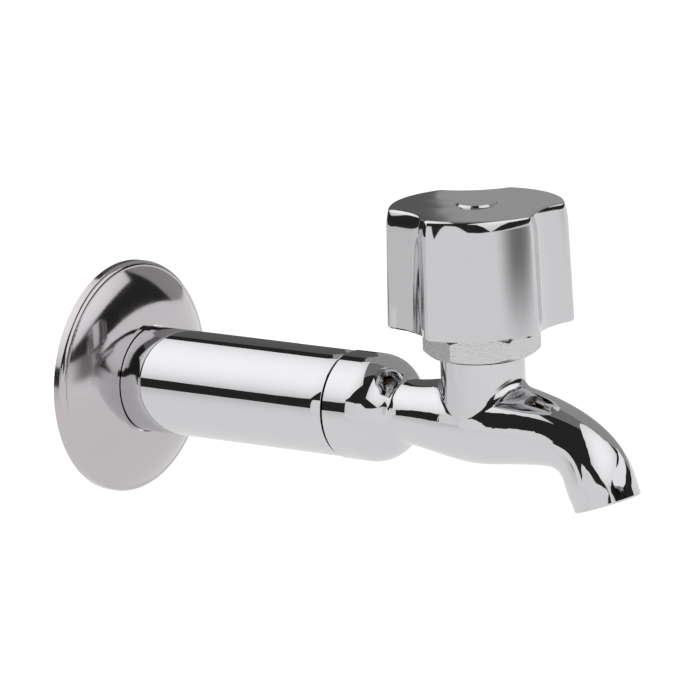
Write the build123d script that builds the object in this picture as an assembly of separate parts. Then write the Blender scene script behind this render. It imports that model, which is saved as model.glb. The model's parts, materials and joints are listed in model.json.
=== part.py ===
from build123d import *
from math import cos, radians, sin, sqrt, tan
import os

# Wall-mounted sink tap, in millimetres. The barrel lies along X and leaves the wall at X = 0,
# the valve stands upright on Z, and the spout curves down at the far end.

# Clearances
thread_gap = 0.05  # radial, between plain cylinders that stand for a screwed pair
running_gap = 0.06  # radial, where one piece turns or slides in another
loose_gap = 0.3  # radial, where a piece only slips over another

# Barrel
barrel_diameter = 28.0
barrel_shoulder_x = 3.0
barrel_end_x = 75.2
inlet_thread_diameter = 20.955
inlet_thread_length = 12.0
inlet_thread_chamfer = 1.2
inlet_relief_width = 1.8
inlet_relief_depth = 1.3
barrel_bore = 13.0
barrel_edge = 0.35
barrel_roll_length = 3.2  # polishing has rolled the far end off over this length
barrel_roll_drop = 0.18

# Socket in the barrel's far end, which takes the body's spigot
socket_diameter = 22.0
socket_depth = 14.0
spigot_length = 13.0
seal_groove_width = 2.4
seal_groove_depth = 1.6
seal_groove_setback = 3.0
seal_section = 1.5

# Wall flange, pressed from sheet
flange_diameter = 62.0
flange_height = 8.8
flange_sheet = 1.0
flange_rim_height = 3.3
flange_rim_radius = 1.5
flange_crown = 1.1  # rise of the dome over a straight cone
flange_lip_length = 2.6

# Collar and neck
collar_step = 0.25  # how far the collar stands proud of the barrel
collar_length = 7.8
collar_edge = 0.5
shoulder_bow = [(0.5, 0.24), (0.84, 0.82)]  # shares of the shoulder's length and of its drop to the neck
neck_radius = 8.6
inlet_passage_radius = 6.2
inlet_turn_x = -15.5  # from the valve, where the way in starts to dip
inlet_turn_drop = 2.0
inlet_turn_height = 5.0  # half the height of the way in there

# Valve chamber
valve_x = 117.4
chamber_radius = 10.95
chamber_top_z = 17.2
chamber_bore_radius = 8.4
chamber_thread_gap = 0.06
web_top_z = 0.0
web_bottom_z = -2.4
seat_bore_radius = 5.0
seat_lip_width = 1.4
seat_z = 0.8
pocket_half_width = 6.2
pocket_floor_z = -8.6
pocket_start_x = -9.0  # from the valve
pocket_end_x = 2.0
pocket_nose = [(5.5, 0.8), (7.2, 0.45)]  # distance from the valve and share of the pocket's full section
blend_radius = 3.5

# Neck, bulb and spout: stations along their centre line as (x from the valve, z, radius, slope below level)
body_stations = [
    (-23.3, 0.0, 8.6, 0),
    (-20.5, 0.0, 8.7, 0),
    (-15.5, 0.0, 9.4, 0),
    (-8.5, 0.0, 10.5, 0),
    (0.0, 0.0, 11.15, 0),
    (8.0, 0.1, 10.6, 2),
    (15.7, -0.3, 9.6, 7),
    (23.3, -1.5, 8.5, 19),
    (29.6, -4.1, 8.1, 38),
    (33.6, -8.4, 8.7, 55),
    (35.9, -13.1, 9.0, 66),
    (37.6, -17.7, 8.9, 72),
]
spout_wall = 2.4
# Passage before the bend: (x from the valve, z, radius, slope below level)
spout_lead_in = [(3.0, 4.9, 4.6, 0), (9.5, 3.4, 4.7, 13), (16.0, 1.1, 5.4, 20)]
outlet_bore_radius = 6.6
outlet_bore_length = 9.0
outlet_edge = 0.5

# Bonnet, screwed into the chamber
bonnet_washer_thickness = 0.7
bonnet_washer_radius = 10.3
bonnet_thread_end_z = 10.6
hex_across_flats = 26.5
hex_height = 6.5
hex_turn = 3.0
hex_chamfer_angle = 30.0
spindle_thread_radius = 5.95
spindle_thread_top_z = 21.0
bonnet_thread_top_z = 23.0
bonnet_relief_radius = 6.5
bonnet_relief_top_z = 26.5
stem_radius = 4.5
stuffing_floor_z = 30.0
stuffing_radius = 7.0
bonnet_neck_radius = 9.0
bonnet_top_z = 36.0

# Gland
gland_washer_thickness = 1.0
gland_packing_height = 3.5
gland_nose_setback = 0.5
gland_nut_across_flats = 22.0
gland_nut_bottom_z = 30.6
gland_nut_top_z = 39.0
gland_nut_crown_z = 36.3

# Jumper valve and its washer
seat_washer_radius = 6.5
seat_washer_thickness = 3.0
seat_washer_bore = 4.2
jumper_disc_radius = 6.9
jumper_disc_thickness = 2.0
jumper_skirt = 1.0
jumper_stem_radius = 2.9
jumper_stem_length = 10.6
jumper_stud_radius = 2.0
jumper_stud_length = 5.6
jumper_chamfer = 0.5
jumper_tip_chamfer = 0.6
washer_nut_across_flats = 7.0
washer_nut_height = 2.2
stem_bore_margin = 0.9
spindle_foot_gap = 0.1

# Spindle
spindle_shoulder_gap = 0.05  # under the knob's boss
spline_root_length = 0.5  # of the splines that runs into the stem
spline_top_z = 50.0
spline_teeth = 20
spline_outer_radius = 4.0
spline_root_radius = 3.6
spline_land = 0.36  # share of the pitch that a tooth's top takes
spindle_chamfer = 0.5
screw_hole_depth = 9.5

# Knob
knob_bottom_z = 26.0
knob_top_z = 57.0
knob_bottom_radius = 24.0
knob_top_radius = 23.2
knob_scallop_bottom = 3.8  # depth of a scallop's middle, in from the lobes
knob_scallop_top = 4.0
knob_scallop_half_angle = 22.5
knob_lobes = 3
knob_lobe_angle = -54.0
knob_corner_radius = 2.4
knob_top_edge = 2.0
knob_bottom_edge = 0.5
knob_wall = 3.0
knob_inner_corner_radius = 1.5
knob_ceiling_z = 53.4
knob_boss_radius = 8.4
knob_boss_bottom_z = 40.2
knob_web_bottom_z = 50.6
knob_web_top_z = 51.5

# Spline insert
insert_radius = 6.0
insert_flat_distance = 5.2

# Screw, its washer and the index button
screw_radius = 2.0
screw_head_radius = 3.8
screw_head_height = 2.3
screw_length = 9.5
screw_point_chamfer = 0.5
screw_head_edge = 0.8
screw_washer_radius = 4.3
screw_washer_thickness = 0.8
screw_slot_length = 4.2
screw_slot_width = 0.9
screw_slot_depth = 1.2
screw_pocket_radius = 4.7
button_radius = 5.3
button_seat_z = 55.2
button_rise = 0.5
button_edge = 0.6
button_skirt_wall = 0.5
button_skirt_depth = 2.2

# Sizes that follow from those above
collar_radius = barrel_diameter / 2 + collar_step
hex_bottom_z = chamber_top_z + bonnet_washer_thickness
hex_top_z = hex_bottom_z + hex_height
jumper_disc_z = seat_z + seat_washer_thickness
jumper_top_z = jumper_disc_z + jumper_disc_thickness
spindle_bottom_z = jumper_top_z + spindle_foot_gap
spindle_shoulder_z = knob_boss_bottom_z - spindle_shoulder_gap
packing_top_z = stuffing_floor_z + gland_washer_thickness + gland_packing_height
valve_axis = Axis((valve_x, 0, 0), (0, 0, 1))


def on_barrel(points):
    """Revolve an outline of (x, radius) points about the barrel's axis."""
    return revolve(make_face(Polyline(*points, close=True)), Axis.X)


def on_valve(points):
    """Revolve an outline of (radius, z) points about the valve's axis."""
    face = make_face(Polyline(*[(valve_x + r, 0, z) for r, z in points], close=True))
    return revolve(face, valve_axis)


def upright(radius, bottom, top):
    """A plain cylinder on the valve's axis."""
    return Pos(valve_x, 0, bottom) * Cylinder(
        radius, top - bottom, align=(Align.CENTER, Align.CENTER, Align.MIN)
    )


def hexagon(across_flats, bottom, top, turn=0.0):
    """A hexagonal prism on the valve's axis, with two flats facing along X before it is turned."""
    outline = RegularPolygon(across_flats / 2, 6, major_radius=False, rotation=30 + turn)
    return Pos(valve_x, 0, bottom) * extrude(outline, top - bottom)


def nut_corners(across_flats, bottom, top, angle, both):
    """The double cone that takes the corners off a nut."""
    flat = across_flats / 2
    reach = across_flats
    fall = (reach - flat) * tan(radians(angle))
    low = bottom + fall if both else bottom
    return on_valve([(0, bottom), (flat, bottom), (reach, low), (reach, top - fall), (flat, top), (0, top)])


def station_plane(x, z, slope):
    """A plane across the spout's centre line, its normal pointing downstream."""
    along = radians(slope)
    return Plane(origin=(valve_x + x, 0, z), x_dir=(0, 1, 0), z_dir=(cos(along), 0, -sin(along)))


def make_wall_flange():
    radius = flange_diameter / 2
    hole = barrel_diameter / 2 + loose_gap

    def dome(inset):
        rim_top = flange_rim_height - inset
        edge = radius - inset
        top = flange_height - inset
        inner = hole + flange_sheet
        start = (rim_top, edge - flange_rim_radius)
        end = (top, inner)
        middle_x = (start[0] + end[0]) / 2
        middle_r = (start[1] + end[1]) / 2
        run = sqrt((end[0] - start[0]) ** 2 + (end[1] - start[1]) ** 2)
        middle_x += flange_crown * (start[1] - end[1]) / run
        middle_r += flange_crown * (end[0] - start[0]) / run
        rim = Line((0, edge), (rim_top - flange_rim_radius, edge))
        corner = RadiusArc(rim @ 1, start, flange_rim_radius)
        crown = ThreePointArc(corner @ 1, (middle_x, middle_r), end)
        back = Polyline(crown @ 1, (top, 0), (0, 0), rim @ 0)
        return revolve(make_face([rim, corner, crown, back]), Axis.X)

    sheet = dome(0) - dome(flange_sheet)
    lip = on_barrel(
        [
            (flange_height - flange_lip_length, hole),
            (flange_height, hole),
            (flange_height, hole + flange_sheet),
            (flange_height - flange_lip_length, hole + flange_sheet),
        ]
    )
    opening = on_barrel([(-1, 0), (flange_height + 1, 0), (flange_height + 1, hole), (-1, hole)])
    return sheet + lip - opening


def make_barrel():
    outer = barrel_diameter / 2
    thread = inlet_thread_diameter / 2
    bore = barrel_bore / 2
    socket = socket_diameter / 2
    socket_x = barrel_end_x - socket_depth
    relief_x = barrel_shoulder_x - inlet_relief_width
    end_x = -inlet_thread_length
    rolled = outer - barrel_roll_drop
    profile = Polyline(
        (barrel_end_x - barrel_edge, rolled),
        (barrel_end_x, rolled - barrel_edge),
        (barrel_end_x, socket + barrel_edge),
        (barrel_end_x - barrel_edge, socket),
        (socket_x, socket),
        (socket_x, bore),
        (end_x, bore),
        (end_x, thread - inlet_thread_chamfer),
        (end_x + inlet_thread_chamfer, thread),
        (relief_x - inlet_relief_depth / 2, thread),
        (relief_x, thread - inlet_relief_depth),
        (barrel_shoulder_x, thread - inlet_relief_depth),
        (barrel_shoulder_x, outer - barrel_edge),
        (barrel_shoulder_x + barrel_edge, outer),
        (barrel_end_x - barrel_roll_length, outer),
    )
    roll = TangentArc(profile @ 1, profile @ 0, tangent=(1, 0))
    return revolve(make_face([profile, roll]), Axis.X)


def seal_groove_centre():
    return barrel_end_x - seal_groove_setback - seal_groove_width / 2


def make_barrel_seal():
    ring_radius = socket_diameter / 2 - thread_gap - seal_section / 2 - running_gap
    ring = Torus(ring_radius, seal_section / 2)
    return Pos(seal_groove_centre(), 0, 0) * Rot(0, 90, 0) * ring


def make_collar():
    """The collar and its domed shoulder, with the spigot that goes into the barrel."""
    outer = collar_radius
    straight_end = barrel_end_x + collar_length
    shoulder_end = valve_x + body_stations[0][0]
    spigot = socket_diameter / 2 - thread_gap
    groove = spigot - seal_groove_depth
    groove_x = seal_groove_centre()
    half = seal_groove_width / 2
    start_x = barrel_end_x - spigot_length
    profile = Polyline(
        (shoulder_end, neck_radius),
        (shoulder_end, 0),
        (start_x, 0),
        (start_x, spigot - collar_edge),
        (start_x + collar_edge, spigot),
        (groove_x - half, spigot),
        (groove_x - half, groove),
        (groove_x + half, groove),
        (groove_x + half, spigot),
        (barrel_end_x, spigot),
        (barrel_end_x, outer - collar_edge),
        (barrel_end_x + collar_edge, outer),
        (straight_end, outer),
    )
    drop = outer - neck_radius
    length = shoulder_end - straight_end
    bow = [(straight_end + length * along, outer - drop * down) for along, down in shoulder_bow]
    shoulder = Spline(profile @ 1, *bow, profile @ 0, tangents=[(1, 0), (1, 0)])
    return revolve(make_face([profile, shoulder]), Axis.X)


def make_body_shell():
    rings = [station_plane(x, z, slope) * Circle(radius) for x, z, radius, slope in body_stations]
    horn = loft(rings)
    chamber = upright(chamber_radius, web_top_z, chamber_top_z)
    shell = horn + chamber
    seam = [edge for edge in new_edges(horn, chamber, combined=shell) if edge.center().Z > web_top_z]
    shell = fillet(seam, blend_radius)
    mouth = shell.faces().sort_by(Axis.Z)[0]
    return fillet(mouth.edges(), outlet_edge)


def make_inlet_passage():
    """The way in: straight through the neck, then down into the flat pocket under the seat."""
    height = (web_bottom_z - pocket_floor_z) / 2
    middle = (web_bottom_z + pocket_floor_z) / 2
    radius = inlet_passage_radius
    entry = body_stations[0][0]
    rings = [
        station_plane(entry, 0, 0) * Circle(radius),
        station_plane(entry + 2, 0, 0) * Circle(radius),
        station_plane(inlet_turn_x, -inlet_turn_drop, 0) * Ellipse(radius, inlet_turn_height),
        station_plane(pocket_start_x, middle, 0) * Ellipse(pocket_half_width, height),
        station_plane(pocket_end_x, middle, 0) * Ellipse(pocket_half_width, height),
    ]
    for x, share in pocket_nose:
        rings.append(station_plane(x, middle, 0) * Ellipse(pocket_half_width * share, height * share))
    straight = on_barrel(
        [
            (barrel_end_x - spigot_length - 1, 0),
            (valve_x + entry, 0),
            (valve_x + entry, radius),
            (barrel_end_x - spigot_length - 1, radius),
        ]
    )
    return straight + loft(rings)


def make_spout_passage():
    lead = [station_plane(x, z, slope) * Circle(radius) for x, z, radius, slope in spout_lead_in]
    lead_end = spout_lead_in[-1][0]
    x, z, radius, slope = body_stations[-1]
    mouth = station_plane(x, z, slope)
    bore_start = x - outlet_bore_length * cos(radians(slope))
    bend = [
        station_plane(x, z, slope) * Circle(radius - spout_wall)
        for x, z, radius, slope in body_stations
        if lead_end < x < bore_start - outlet_bore_length / 4
    ]
    end_ring = mouth.offset(-outlet_bore_length) * Circle(outlet_bore_radius)
    outlet = mouth.offset(-outlet_bore_length) * Cylinder(
        outlet_bore_radius,
        outlet_bore_length + 2,
        align=(Align.CENTER, Align.CENTER, Align.MIN),
    )
    return loft(lead + bend + [end_ring]) + outlet


def make_tap_body():
    shell = make_body_shell() + make_collar()
    bore = upright(chamber_bore_radius, web_top_z, chamber_top_z + 1)
    seat_lip = upright(seat_bore_radius + seat_lip_width, web_bottom_z, seat_z)
    seat_bore = upright(seat_bore_radius, web_bottom_z - 2, seat_z + 1)
    body = shell - bore - make_spout_passage() + seat_lip
    return body - make_inlet_passage() - seat_bore


def make_bonnet_washer():
    inner = chamber_bore_radius - chamber_thread_gap + loose_gap / 2
    return upright(bonnet_washer_radius, chamber_top_z, hex_bottom_z) - upright(
        inner, chamber_top_z - 1, hex_bottom_z + 1
    )


def make_bonnet():
    thread = chamber_bore_radius - chamber_thread_gap
    bore = spindle_thread_radius + running_gap
    stem_bore = stem_radius + running_gap
    hexagonal = hexagon(hex_across_flats, hex_bottom_z, hex_top_z, hex_turn)
    hexagonal &= nut_corners(hex_across_flats, hex_bottom_z, hex_top_z, hex_chamfer_angle, True)
    thread_part = upright(thread, bonnet_thread_end_z, hex_bottom_z)
    neck = upright(bonnet_neck_radius, hex_top_z, bonnet_top_z)
    inside = on_valve(
        [
            (0, bonnet_thread_end_z - 1),
            (bore, bonnet_thread_end_z - 1),
            (bore, bonnet_thread_top_z),
            (bonnet_relief_radius, bonnet_thread_top_z),
            (bonnet_relief_radius, bonnet_relief_top_z),
            (stem_bore, bonnet_relief_top_z),
            (stem_bore, stuffing_floor_z),
            (stuffing_radius, stuffing_floor_z),
            (stuffing_radius, bonnet_top_z + 1),
            (0, bonnet_top_z + 1),
        ]
    )
    return hexagonal + thread_part + neck - inside


def make_gland_washer():
    top = stuffing_floor_z + gland_washer_thickness
    outer = stuffing_radius - running_gap
    return upright(outer, stuffing_floor_z, top) - upright(
        stem_radius + running_gap, stuffing_floor_z - 1, top + 1
    )


def make_gland_packing():
    bottom = stuffing_floor_z + gland_washer_thickness
    outer = stuffing_radius - running_gap
    return upright(outer, bottom, packing_top_z) - upright(
        stem_radius + running_gap, bottom - 1, packing_top_z + 1
    )


def make_gland_nut():
    body = hexagon(gland_nut_across_flats, gland_nut_bottom_z, gland_nut_top_z)
    body &= nut_corners(gland_nut_across_flats, gland_nut_bottom_z, gland_nut_top_z, hex_chamfer_angle, False)
    threaded = upright(bonnet_neck_radius + thread_gap, gland_nut_bottom_z - 1, gland_nut_crown_z)
    nose = upright(stuffing_radius - running_gap, packing_top_z, gland_nut_top_z - gland_nose_setback)
    hole = upright(stem_radius + running_gap, packing_top_z - 1, gland_nut_top_z + 1)
    return body - threaded + nose - hole


def make_seat_washer():
    bore = seat_washer_bore / 2
    return upright(seat_washer_radius, seat_z, jumper_disc_z) - upright(
        bore, seat_z - 1, jumper_disc_z + 1
    )


def make_jumper():
    """The jumper's disc, the skirt round its washer, the guide stem above and the stud below."""
    inner = seat_washer_radius + loose_gap / 3
    return on_valve(
        [
            (0, jumper_disc_z - jumper_stud_length),
            (jumper_stud_radius, jumper_disc_z - jumper_stud_length),
            (jumper_stud_radius, jumper_disc_z),
            (inner, jumper_disc_z),
            (inner, jumper_disc_z - jumper_skirt),
            (jumper_disc_radius + loose_gap, jumper_disc_z - jumper_skirt),
            (jumper_disc_radius + loose_gap, jumper_top_z - jumper_chamfer),
            (jumper_disc_radius + loose_gap - jumper_chamfer, jumper_top_z),
            (jumper_stem_radius, jumper_top_z),
            (jumper_stem_radius, jumper_top_z + jumper_stem_length - jumper_tip_chamfer),
            (jumper_stem_radius - jumper_tip_chamfer, jumper_top_z + jumper_stem_length),
            (0, jumper_top_z + jumper_stem_length),
        ]
    )


def make_washer_nut():
    bottom = seat_z - washer_nut_height
    nut = hexagon(washer_nut_across_flats, bottom, seat_z)
    nut &= nut_corners(washer_nut_across_flats, bottom, seat_z, hex_chamfer_angle, True)
    return nut - upright(jumper_stud_radius + thread_gap, bottom - 1, seat_z + 1)


def spline_outline(gap):
    """The toothed outline, grown by gap for the hole that takes it."""
    pitch = 360 / spline_teeth
    land = spline_land / 2
    corners = [(-0.5, spline_root_radius), (-land, spline_outer_radius), (land, spline_outer_radius)]
    points = []
    for tooth in range(spline_teeth):
        for turn, radius in corners:
            angle = radians((tooth + turn) * pitch)
            points.append(((radius + gap) * cos(angle), (radius + gap) * sin(angle)))
    return make_face(Polyline(*points, close=True))


def make_spindle():
    foot_bore = jumper_stem_radius + running_gap
    foot_top = jumper_top_z + jumper_stem_length + stem_bore_margin
    turned = on_valve(
        [
            (0, spindle_bottom_z),
            (spindle_thread_radius - spindle_chamfer, spindle_bottom_z),
            (spindle_thread_radius, spindle_bottom_z + spindle_chamfer),
            (spindle_thread_radius, spindle_thread_top_z - spindle_chamfer),
            (spindle_thread_radius - spindle_chamfer, spindle_thread_top_z),
            (stem_radius, spindle_thread_top_z),
            (stem_radius, spindle_shoulder_z - spindle_chamfer),
            (stem_radius - spindle_chamfer, spindle_shoulder_z),
            (0, spindle_shoulder_z),
        ]
    )
    spline_base = spindle_shoulder_z - spline_root_length
    splined = Pos(valve_x, 0, spline_base) * extrude(spline_outline(0), spline_top_z - spline_base)
    foot = upright(foot_bore, spindle_bottom_z - 1, foot_top)
    screw_hole = upright(screw_radius + thread_gap, spline_top_z - screw_hole_depth, spline_top_z + 1)
    return turned + splined - foot - screw_hole


def knob_outline(radius, depth, corner):
    """The lobed outline at one height, with scallops of that depth between the lobes."""
    half = radians(knob_scallop_half_angle)
    scallop = radius - depth
    rise = radius * cos(half) - scallop
    chord = radius * sin(half)
    cutter = (rise**2 + chord**2) / (2 * rise)
    outline = Circle(radius)
    for lobe in range(knob_lobes):
        middle = radians(knob_lobe_angle + 360 / knob_lobes * (lobe + 0.5))
        reach = scallop + cutter
        outline -= Pos(reach * cos(middle), reach * sin(middle)) * Circle(cutter)
    return fillet(outline.vertices(), corner)


def make_knob():
    def level(z, radius, depth, corner):
        return Pos(valve_x, 0, z) * knob_outline(radius, depth, corner)

    bottom = level(knob_bottom_z, knob_bottom_radius, knob_scallop_bottom, knob_corner_radius)
    top = level(knob_top_z, knob_top_radius, knob_scallop_top, knob_corner_radius)
    solid = loft([bottom, top], ruled=True)
    solid = fillet(solid.edges().group_by(Axis.Z)[-1], knob_top_edge)
    solid = chamfer(solid.edges().group_by(Axis.Z)[0], knob_bottom_edge)
    mouth = (knob_bottom_radius - knob_wall, knob_scallop_bottom, knob_inner_corner_radius)
    roof = (knob_top_radius - knob_wall, knob_scallop_top, knob_inner_corner_radius)
    cavity = loft([level(knob_bottom_z - 1, *mouth), level(knob_ceiling_z, *roof)], ruled=True)
    boss = upright(knob_boss_radius, knob_boss_bottom_z, knob_ceiling_z)
    socket = insert_blank(knob_boss_bottom_z - 1, knob_web_bottom_z, running_gap)
    through = upright(screw_radius + loose_gap, knob_web_bottom_z - 1, knob_web_top_z + 1)
    pocket = upright(screw_pocket_radius, knob_web_top_z, button_seat_z)
    button_seat = upright(button_radius + running_gap, button_seat_z, knob_top_z + 1)
    return solid - cavity + boss - socket - through - pocket - button_seat


def insert_blank(bottom, top, gap):
    """The insert's outside, a cylinder with two flats."""
    width = 2 * (insert_flat_distance + gap)
    flats = Pos(valve_x, 0, (bottom + top) / 2) * Box(width, 4 * insert_radius, top - bottom)
    return upright(insert_radius + gap, bottom, top) & flats


def make_spline_insert():
    blank = insert_blank(knob_boss_bottom_z, knob_web_bottom_z, 0)
    hole = Pos(valve_x, 0, knob_boss_bottom_z - 1) * extrude(
        spline_outline(running_gap), knob_web_bottom_z - knob_boss_bottom_z + 2
    )
    return blank - hole


def make_screw_washer():
    top = knob_web_top_z + screw_washer_thickness
    return upright(screw_washer_radius, knob_web_top_z, top) - upright(
        screw_radius + loose_gap, knob_web_top_z - 1, top + 1
    )


def make_knob_screw():
    seat = knob_web_top_z + screw_washer_thickness
    top = seat + screw_head_height
    turned = on_valve(
        [
            (0, seat - screw_length),
            (screw_radius - screw_point_chamfer, seat - screw_length),
            (screw_radius, seat - screw_length + screw_point_chamfer),
            (screw_radius, seat),
            (screw_head_radius, seat),
            (screw_head_radius, top - screw_head_edge),
            (screw_head_radius - screw_head_edge, top),
            (0, top),
        ]
    )
    slot = Box(screw_slot_length, screw_slot_width, 2 * screw_slot_depth)
    cross = slot + Rot(0, 0, 90) * slot
    return turned - Pos(valve_x, 0, top) * cross


def make_index_button():
    outer = screw_pocket_radius - running_gap
    top = knob_top_z + button_rise
    cap = on_valve(
        [
            (0, button_seat_z),
            (button_radius, button_seat_z),
            (button_radius, top - button_edge),
            (button_radius - button_edge, top),
            (0, top),
        ]
    )
    skirt = upright(outer, button_seat_z - button_skirt_depth, button_seat_z) - upright(
        outer - button_skirt_wall, button_seat_z - button_skirt_depth - 1, button_seat_z
    )
    return cap + skirt


parts = {
    "wall_flange": make_wall_flange,
    "barrel": make_barrel,
    "barrel_seal": make_barrel_seal,
    "tap_body": make_tap_body,
    "bonnet_washer": make_bonnet_washer,
    "bonnet": make_bonnet,
    "gland_washer": make_gland_washer,
    "gland_packing": make_gland_packing,
    "gland_nut": make_gland_nut,
    "seat_washer": make_seat_washer,
    "jumper": make_jumper,
    "washer_nut": make_washer_nut,
    "spindle": make_spindle,
    "knob": make_knob,
    "spline_insert": make_spline_insert,
    "screw_washer": make_screw_washer,
    "knob_screw": make_knob_screw,
    "index_button": make_index_button,
}

os.makedirs("parts", exist_ok=True)
for name, make in parts.items():
    export_step(make(), f"parts/{name}.step")
    print("wrote", name)
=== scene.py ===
import json
from math import acos, atan2, cos, pi, radians, sin, tan

import bmesh
import bpy
from mathutils import Matrix, Vector

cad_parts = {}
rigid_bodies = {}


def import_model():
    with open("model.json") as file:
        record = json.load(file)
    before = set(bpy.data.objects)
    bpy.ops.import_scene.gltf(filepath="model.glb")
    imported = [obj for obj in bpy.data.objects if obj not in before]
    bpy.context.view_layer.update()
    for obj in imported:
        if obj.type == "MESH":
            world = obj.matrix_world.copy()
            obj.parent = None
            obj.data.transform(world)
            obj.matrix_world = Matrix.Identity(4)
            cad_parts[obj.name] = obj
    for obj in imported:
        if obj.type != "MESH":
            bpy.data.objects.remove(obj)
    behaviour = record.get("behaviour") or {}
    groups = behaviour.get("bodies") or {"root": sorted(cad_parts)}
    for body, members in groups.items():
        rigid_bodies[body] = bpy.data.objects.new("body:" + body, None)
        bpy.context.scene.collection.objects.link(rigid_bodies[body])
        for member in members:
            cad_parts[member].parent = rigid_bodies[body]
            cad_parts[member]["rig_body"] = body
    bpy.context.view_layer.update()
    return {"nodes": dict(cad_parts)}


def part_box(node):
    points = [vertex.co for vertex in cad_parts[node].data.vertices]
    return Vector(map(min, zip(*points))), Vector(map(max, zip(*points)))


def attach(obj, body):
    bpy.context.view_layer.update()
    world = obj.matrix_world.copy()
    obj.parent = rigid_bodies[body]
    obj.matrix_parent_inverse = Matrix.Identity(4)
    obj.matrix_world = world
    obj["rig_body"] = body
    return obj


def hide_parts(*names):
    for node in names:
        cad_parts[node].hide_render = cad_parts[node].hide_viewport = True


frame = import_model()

mm = 0.001
scene = bpy.context.scene
scene.view_settings.view_transform = "Standard"
print("frame loaded")


def linear(hexColour):
    # sRGB hex to the linear colour that the shaders take
    parts = [int(hexColour[i:i + 2], 16) / 255 for i in (0, 2, 4)]
    return [c / 12.92 if c <= 0.04045 else ((c + 0.055) / 1.055) ** 2.4 for c in parts] + [1.0]


def perMetre(size):
    # a noise's scale on Object coordinates, from its size in millimetres
    return 1 / (size * mm)


def waveScale(spacing):
    # a wave texture's scale, from the spacing of its lines in millimetres: it runs 20 radians to a unit
    return perMetre(spacing) * 2 * pi / 20


def addNode(tree, kind, inputs=None, **settings):
    node = tree.nodes.new(kind)
    for name, value in settings.items():
        setattr(node, name, value)
    for name, value in (inputs or {}).items():
        if isinstance(value, bpy.types.NodeSocket):
            tree.links.new(value, node.inputs[name])
        else:
            node.inputs[name].default_value = value
    return node


def newMaterial(name):
    material = bpy.data.materials.new(name)
    material.use_nodes = True
    material.node_tree.nodes.clear()
    return material, material.node_tree


# Nearly all of a noise lies in this span, which a finish's roughness is spread over.
noiseLow, noiseHigh = 0.35, 0.65

# Chrome over cast and buffed brass: a mirror, with low waves that the buffing wheel leaves,
# which make the edges of every reflection a little uneven, and a few hair-fine wipe marks.
buffedChrome = {
    "colour": "D2D2D4", "roughness": (0.02, 0.05), "waveSize": 6.0, "waveHeight": 0.013,
    "peelSize": 1.1, "peelHeight": 0.0010,
    "wipeLength": 26.0, "wipeWidth": 0.35, "wipeTurn": (0.4, 0.3, 0.0), "wipeSpan": (0.45, 0.75),
}


def makeBuffedChrome():
    s = buffedChrome
    material, tree = newMaterial("buffedChromePlate")
    place = addNode(tree, "ShaderNodeTexCoord").outputs["Object"]
    wave = addNode(tree, "ShaderNodeTexNoise", {
        "Vector": place, "Scale": perMetre(s["waveSize"]), "Detail": 1.0, "Roughness": 0.4})
    peel = addNode(tree, "ShaderNodeTexNoise", {
        "Vector": place, "Scale": perMetre(s["peelSize"]), "Detail": 2.0, "Roughness": 0.5})
    low = addNode(tree, "ShaderNodeBump", {
        "Height": wave.outputs[0], "Strength": 1.0, "Distance": s["waveHeight"] * mm})
    fine = addNode(tree, "ShaderNodeBump", {
        "Height": peel.outputs[0], "Strength": 1.0, "Distance": s["peelHeight"] * mm,
        "Normal": low.outputs[0]})
    stretched = addNode(tree, "ShaderNodeMapping", {
        "Vector": place, "Rotation": s["wipeTurn"],
        "Scale": (perMetre(s["wipeLength"]), perMetre(s["wipeWidth"]), perMetre(s["wipeWidth"]))})
    wipe = addNode(tree, "ShaderNodeTexNoise", {
        "Vector": stretched.outputs[0], "Scale": 1.0, "Detail": 3.0})
    rough = addNode(tree, "ShaderNodeMapRange", {
        "Value": wipe.outputs[0], "From Min": s["wipeSpan"][0], "From Max": s["wipeSpan"][1],
        "To Min": s["roughness"][0], "To Max": s["roughness"][1]})
    shader = addNode(tree, "ShaderNodeBsdfPrincipled", {
        "Base Color": linear(s["colour"]), "Metallic": 1.0, "Roughness": rough.outputs[0],
        "Normal": fine.outputs[0]})
    addNode(tree, "ShaderNodeOutputMaterial", {"Surface": shader.outputs["BSDF"]})
    return material


# Chrome over a thin pressed sheet: satin-bright, so reflections blur, with rings that the
# polishing mop leaves round the barrel's axis.
pressedChrome = {
    "colour": "C4BFC2", "roughness": (0.08, 0.13), "ringSpacing": 3.14, "ringHeight": 0.0008,
    "waveSize": 14.0, "waveHeight": 0.035, "smearSize": 9.0,
}


def makePressedChrome():
    s = pressedChrome
    material, tree = newMaterial("pressedChromePlate")
    place = addNode(tree, "ShaderNodeTexCoord").outputs["Object"]
    wave = addNode(tree, "ShaderNodeTexNoise", {
        "Vector": place, "Scale": perMetre(s["waveSize"]), "Detail": 1.0, "Roughness": 0.4})
    rings = addNode(tree, "ShaderNodeTexWave", {
        "Vector": place, "Scale": waveScale(s["ringSpacing"]), "Distortion": 1.5, "Detail": 2.0,
        "Detail Scale": 2.0}, wave_type="RINGS", rings_direction="X")
    low = addNode(tree, "ShaderNodeBump", {
        "Height": wave.outputs[0], "Strength": 1.0, "Distance": s["waveHeight"] * mm})
    fine = addNode(tree, "ShaderNodeBump", {
        "Height": rings.outputs["Fac"], "Strength": 1.0, "Distance": s["ringHeight"] * mm,
        "Normal": low.outputs[0]})
    smear = addNode(tree, "ShaderNodeTexNoise", {
        "Vector": place, "Scale": perMetre(s["smearSize"]), "Detail": 4.0})
    rough = addNode(tree, "ShaderNodeMapRange", {
        "Value": smear.outputs[0], "From Min": noiseLow, "From Max": noiseHigh,
        "To Min": s["roughness"][0], "To Max": s["roughness"][1]})
    shader = addNode(tree, "ShaderNodeBsdfPrincipled", {
        "Base Color": linear(s["colour"]), "Metallic": 1.0, "Roughness": rough.outputs[0],
        "Normal": fine.outputs[0]})
    addNode(tree, "ShaderNodeOutputMaterial", {"Surface": shader.outputs["BSDF"]})
    return material


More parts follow.
